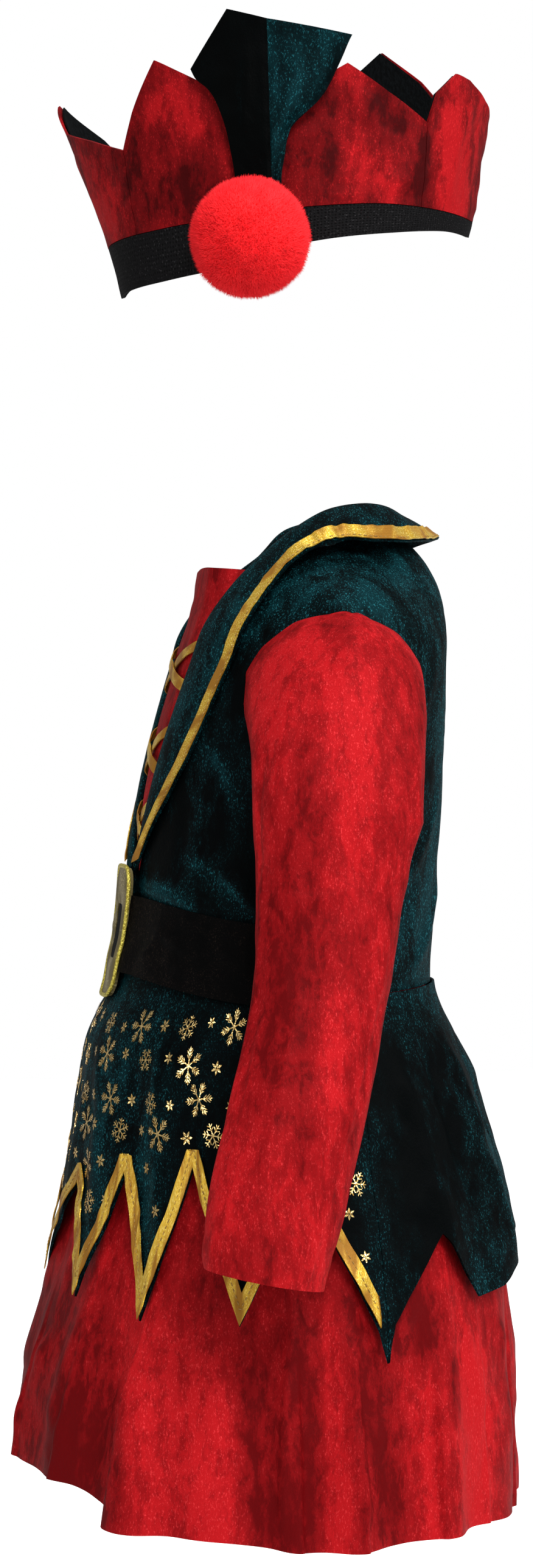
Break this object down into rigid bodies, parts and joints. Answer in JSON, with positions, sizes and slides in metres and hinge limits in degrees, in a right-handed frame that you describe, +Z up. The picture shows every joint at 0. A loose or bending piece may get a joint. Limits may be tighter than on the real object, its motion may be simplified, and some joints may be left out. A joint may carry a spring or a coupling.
{
  "type": "baby christmas elf costume, dress and hat set, worn",
  "caption": "Long-sleeved velvet elf dress with a shawl collar, laced front, belt, pointed overskirt and flared underskirt, with an open crown hat and pompom.",
  "frame": {"origin": "base of the neck on the wearer's body axis, level with the shoulders that carry the dress", "axes": "+Z up, the wearer faces -Y, the wearer's left side is +X"},
  "size_m": [0.344, 0.2282, 0.6653],
  "materials": {
    "green_velvet": "crushed velvet, near black with teal highlights",
    "red_velvet": "crushed velvet",
    "gold_ribbon": "satin ribbon",
    "black_velvet": "velvet",
    "pale_gold": "padded metallic cloth",
    "black_knit": "elastic band with a fine open knit",
    "black_lining": "plain woven lining",
    "red_fur": "cut yarn pompom"
  },
  "bodies": {
    "root": {"bodice_front_left": "green_velvet", "bodice_front_right": "green_velvet", "bodice_back": "green_velvet", "collar_left": "green_velvet", "collar_right": "green_velvet", "overskirt_front": "green_velvet", "overskirt_back": "green_velvet", "front_petal_left": "green_velvet", "front_petal_right": "green_velvet", "front_insert": "red_velvet", "sleeve_left": "red_velvet", "sleeve_right": "red_velvet", "underskirt": "red_velvet", "crown_back_left": "red_velvet", "crown_side_left": "red_velvet", "crown_front_left": "red_velvet", "crown_front_right": "red_velvet", "crown_side_right": "red_velvet", "crown_back_right": "red_velvet", "lace_upper_rising": "gold_ribbon", "lace_upper_falling": "gold_ribbon", "lace_middle_rising": "gold_ribbon", "lace_middle_falling": "gold_ribbon", "lace_lower_rising": "gold_ribbon", "lace_lower_falling": "gold_ribbon", "collar_ribbon_left": "gold_ribbon", "collar_ribbon_right": "gold_ribbon", "overskirt_ribbon": "gold_ribbon", "belt": "black_velvet", "buckle": "pale_gold", "hat_band": "black_knit", "crown_lining": "black_lining", "pompom": "red_fur"}
  },
  "joints": []
}
